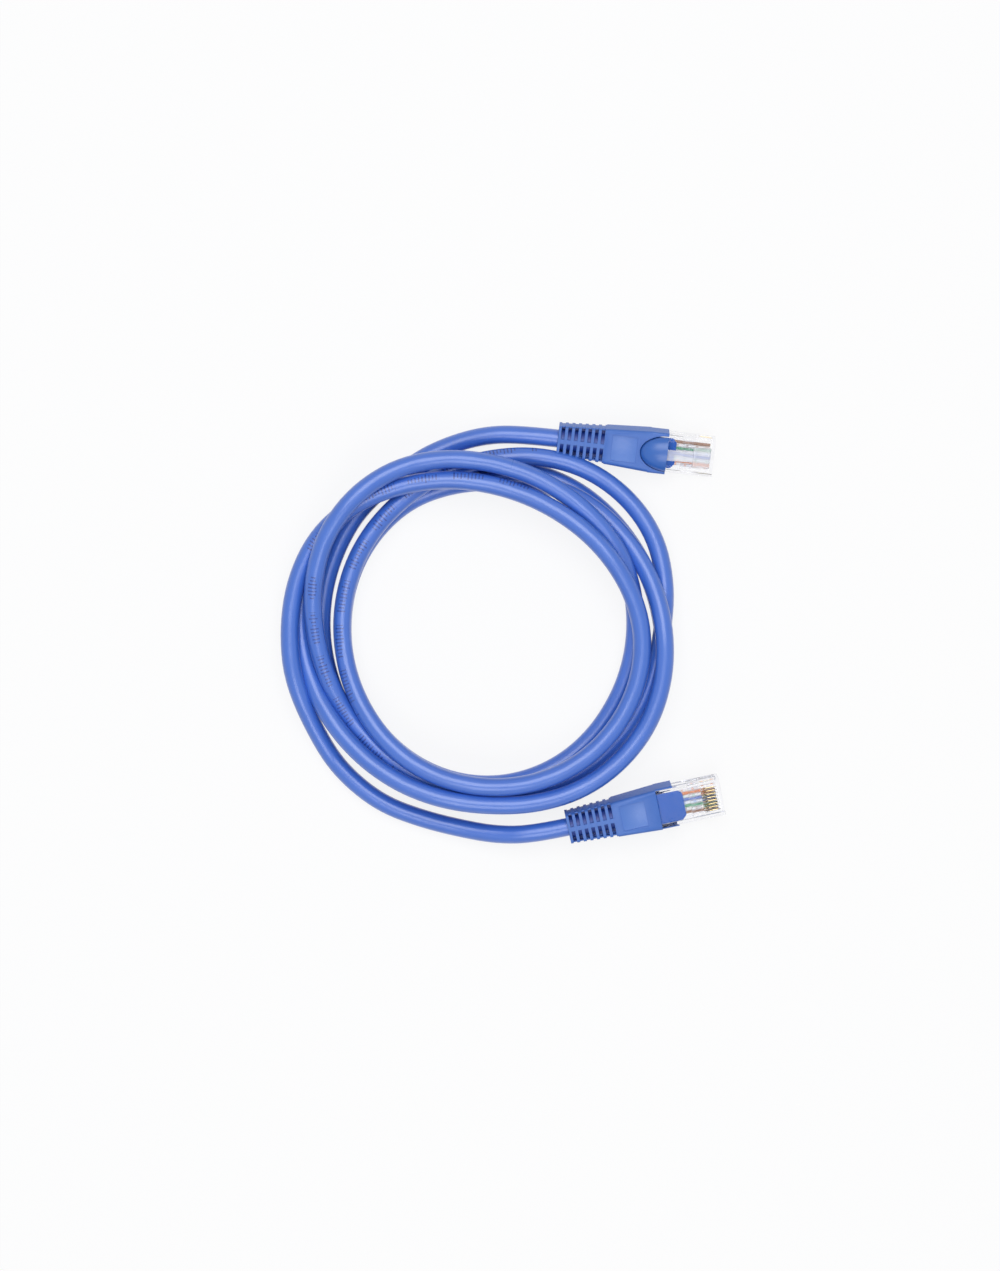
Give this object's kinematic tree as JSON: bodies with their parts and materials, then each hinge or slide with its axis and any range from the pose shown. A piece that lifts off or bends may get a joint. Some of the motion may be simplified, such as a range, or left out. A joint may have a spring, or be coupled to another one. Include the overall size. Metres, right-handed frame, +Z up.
{
  "type": "ethernet patch cable",
  "caption": "Coiled round network cable with a clear modular plug on each end, each in a slotted strain-relief boot with a press dome over its latch.",
  "frame": {"origin": "on the surface the cable lies on, midway between the two plugs with their boots", "axes": "+X the way both plugs point, +Y from the contact-side-up plug to the latch-side-up plug, +Z up from the surface"},
  "size_m": [0.1347, 0.1283, 0.0165],
  "materials": {
    "cable_jacket": "satin extruded PVC, blue",
    "boot_vinyl": "moulded soft PVC, blue",
    "mould_vinyl": "moulded PVC, blue",
    "clear_polycarbonate": "clear moulded polycarbonate",
    "gold_contact": "gold-plated phosphor bronze",
    "separator_polyethylene": "natural polyethylene",
    "copper": "bare copper strand",
    "wire_white_orange": "extruded polyethylene insulation",
    "wire_orange": "extruded polyethylene insulation",
    "wire_white_green": "extruded polyethylene insulation",
    "wire_blue": "extruded polyethylene insulation",
    "wire_white_blue": "extruded polyethylene insulation",
    "wire_green": "extruded polyethylene insulation",
    "wire_white_brown": "extruded polyethylene insulation",
    "wire_brown": "extruded polyethylene insulation"
  },
  "bodies": {
    "cable": {"coil": "cable_jacket", "lead_a": "cable_jacket", "boot_a": "boot_vinyl", "plug_housing_a": "clear_polycarbonate", "load_bar_a": "clear_polycarbonate", "contacts_a": "gold_contact", "inner_mould_a": "mould_vinyl", "jacket_end_a": "cable_jacket", "pair_separator_a": "separator_polyethylene", "conductor_cores_a": "copper", "wire_white_orange_a": "wire_white_orange", "wire_orange_a": "wire_orange", "wire_white_green_a": "wire_white_green", "wire_blue_a": "wire_blue", "wire_white_blue_a": "wire_white_blue", "wire_green_a": "wire_green", "wire_white_brown_a": "wire_white_brown", "wire_brown_a": "wire_brown", "lead_b": "cable_jacket", "boot_b": "boot_vinyl", "plug_housing_b": "clear_polycarbonate", "load_bar_b": "clear_polycarbonate", "contacts_b": "gold_contact", "inner_mould_b": "mould_vinyl", "jacket_end_b": "cable_jacket", "pair_separator_b": "separator_polyethylene", "conductor_cores_b": "copper", "wire_white_orange_b": "wire_white_orange", "wire_orange_b": "wire_orange", "wire_white_green_b": "wire_white_green", "wire_blue_b": "wire_blue", "wire_white_blue_b": "wire_white_blue", "wire_green_b": "wire_green", "wire_white_brown_b": "wire_white_brown", "wire_brown_b": "wire_brown"},
    "latch_a": {"latch_a": "clear_polycarbonate"},
    "latch_hood_a": {"latch_hood_a": "boot_vinyl"},
    "latch_b": {"latch_b": "clear_polycarbonate"},
    "latch_hood_b": {"latch_hood_b": "boot_vinyl"}
  },
  "joints": [
    {"name": "hood_a_press", "type": "hinge", "parent": "cable", "child": "latch_hood_a", "pos_m": [-0.00012, 0.05464, 0.01039], "axis": [0.111, 0.9595, 0.2588], "range_deg": [0, 10], "stiffness_Nm_per_rad": 0.02},
    {"name": "latch_a_bend", "type": "hinge", "parent": "cable", "child": "latch_a", "pos_m": [0.02048, 0.05257, 0.00925], "axis": [-0.111, -0.9595, -0.2588], "range_deg": [0, 5.4], "stiffness_Nm_per_rad": 0.02},
    {"name": "hood_b_press", "type": "hinge", "parent": "cable", "child": "latch_hood_b", "pos_m": [0.00232, -0.0527, 0.00336], "axis": [0.205, -0.9564, -0.2079], "range_deg": [0, 10], "stiffness_Nm_per_rad": 0.02},
    {"name": "latch_b_bend", "type": "hinge", "parent": "cable", "child": "latch_b", "pos_m": [0.02261, -0.0486, 0.00452], "axis": [-0.205, 0.9564, 0.2079], "range_deg": [0, 5.4], "stiffness_Nm_per_rad": 0.02}
  ],
  "couplings": [
    {"joint": "latch_a_bend", "follows": "hood_a_press", "ratio": 0.53},
    {"joint": "latch_b_bend", "follows": "hood_b_press", "ratio": 0.53}
  ]
}
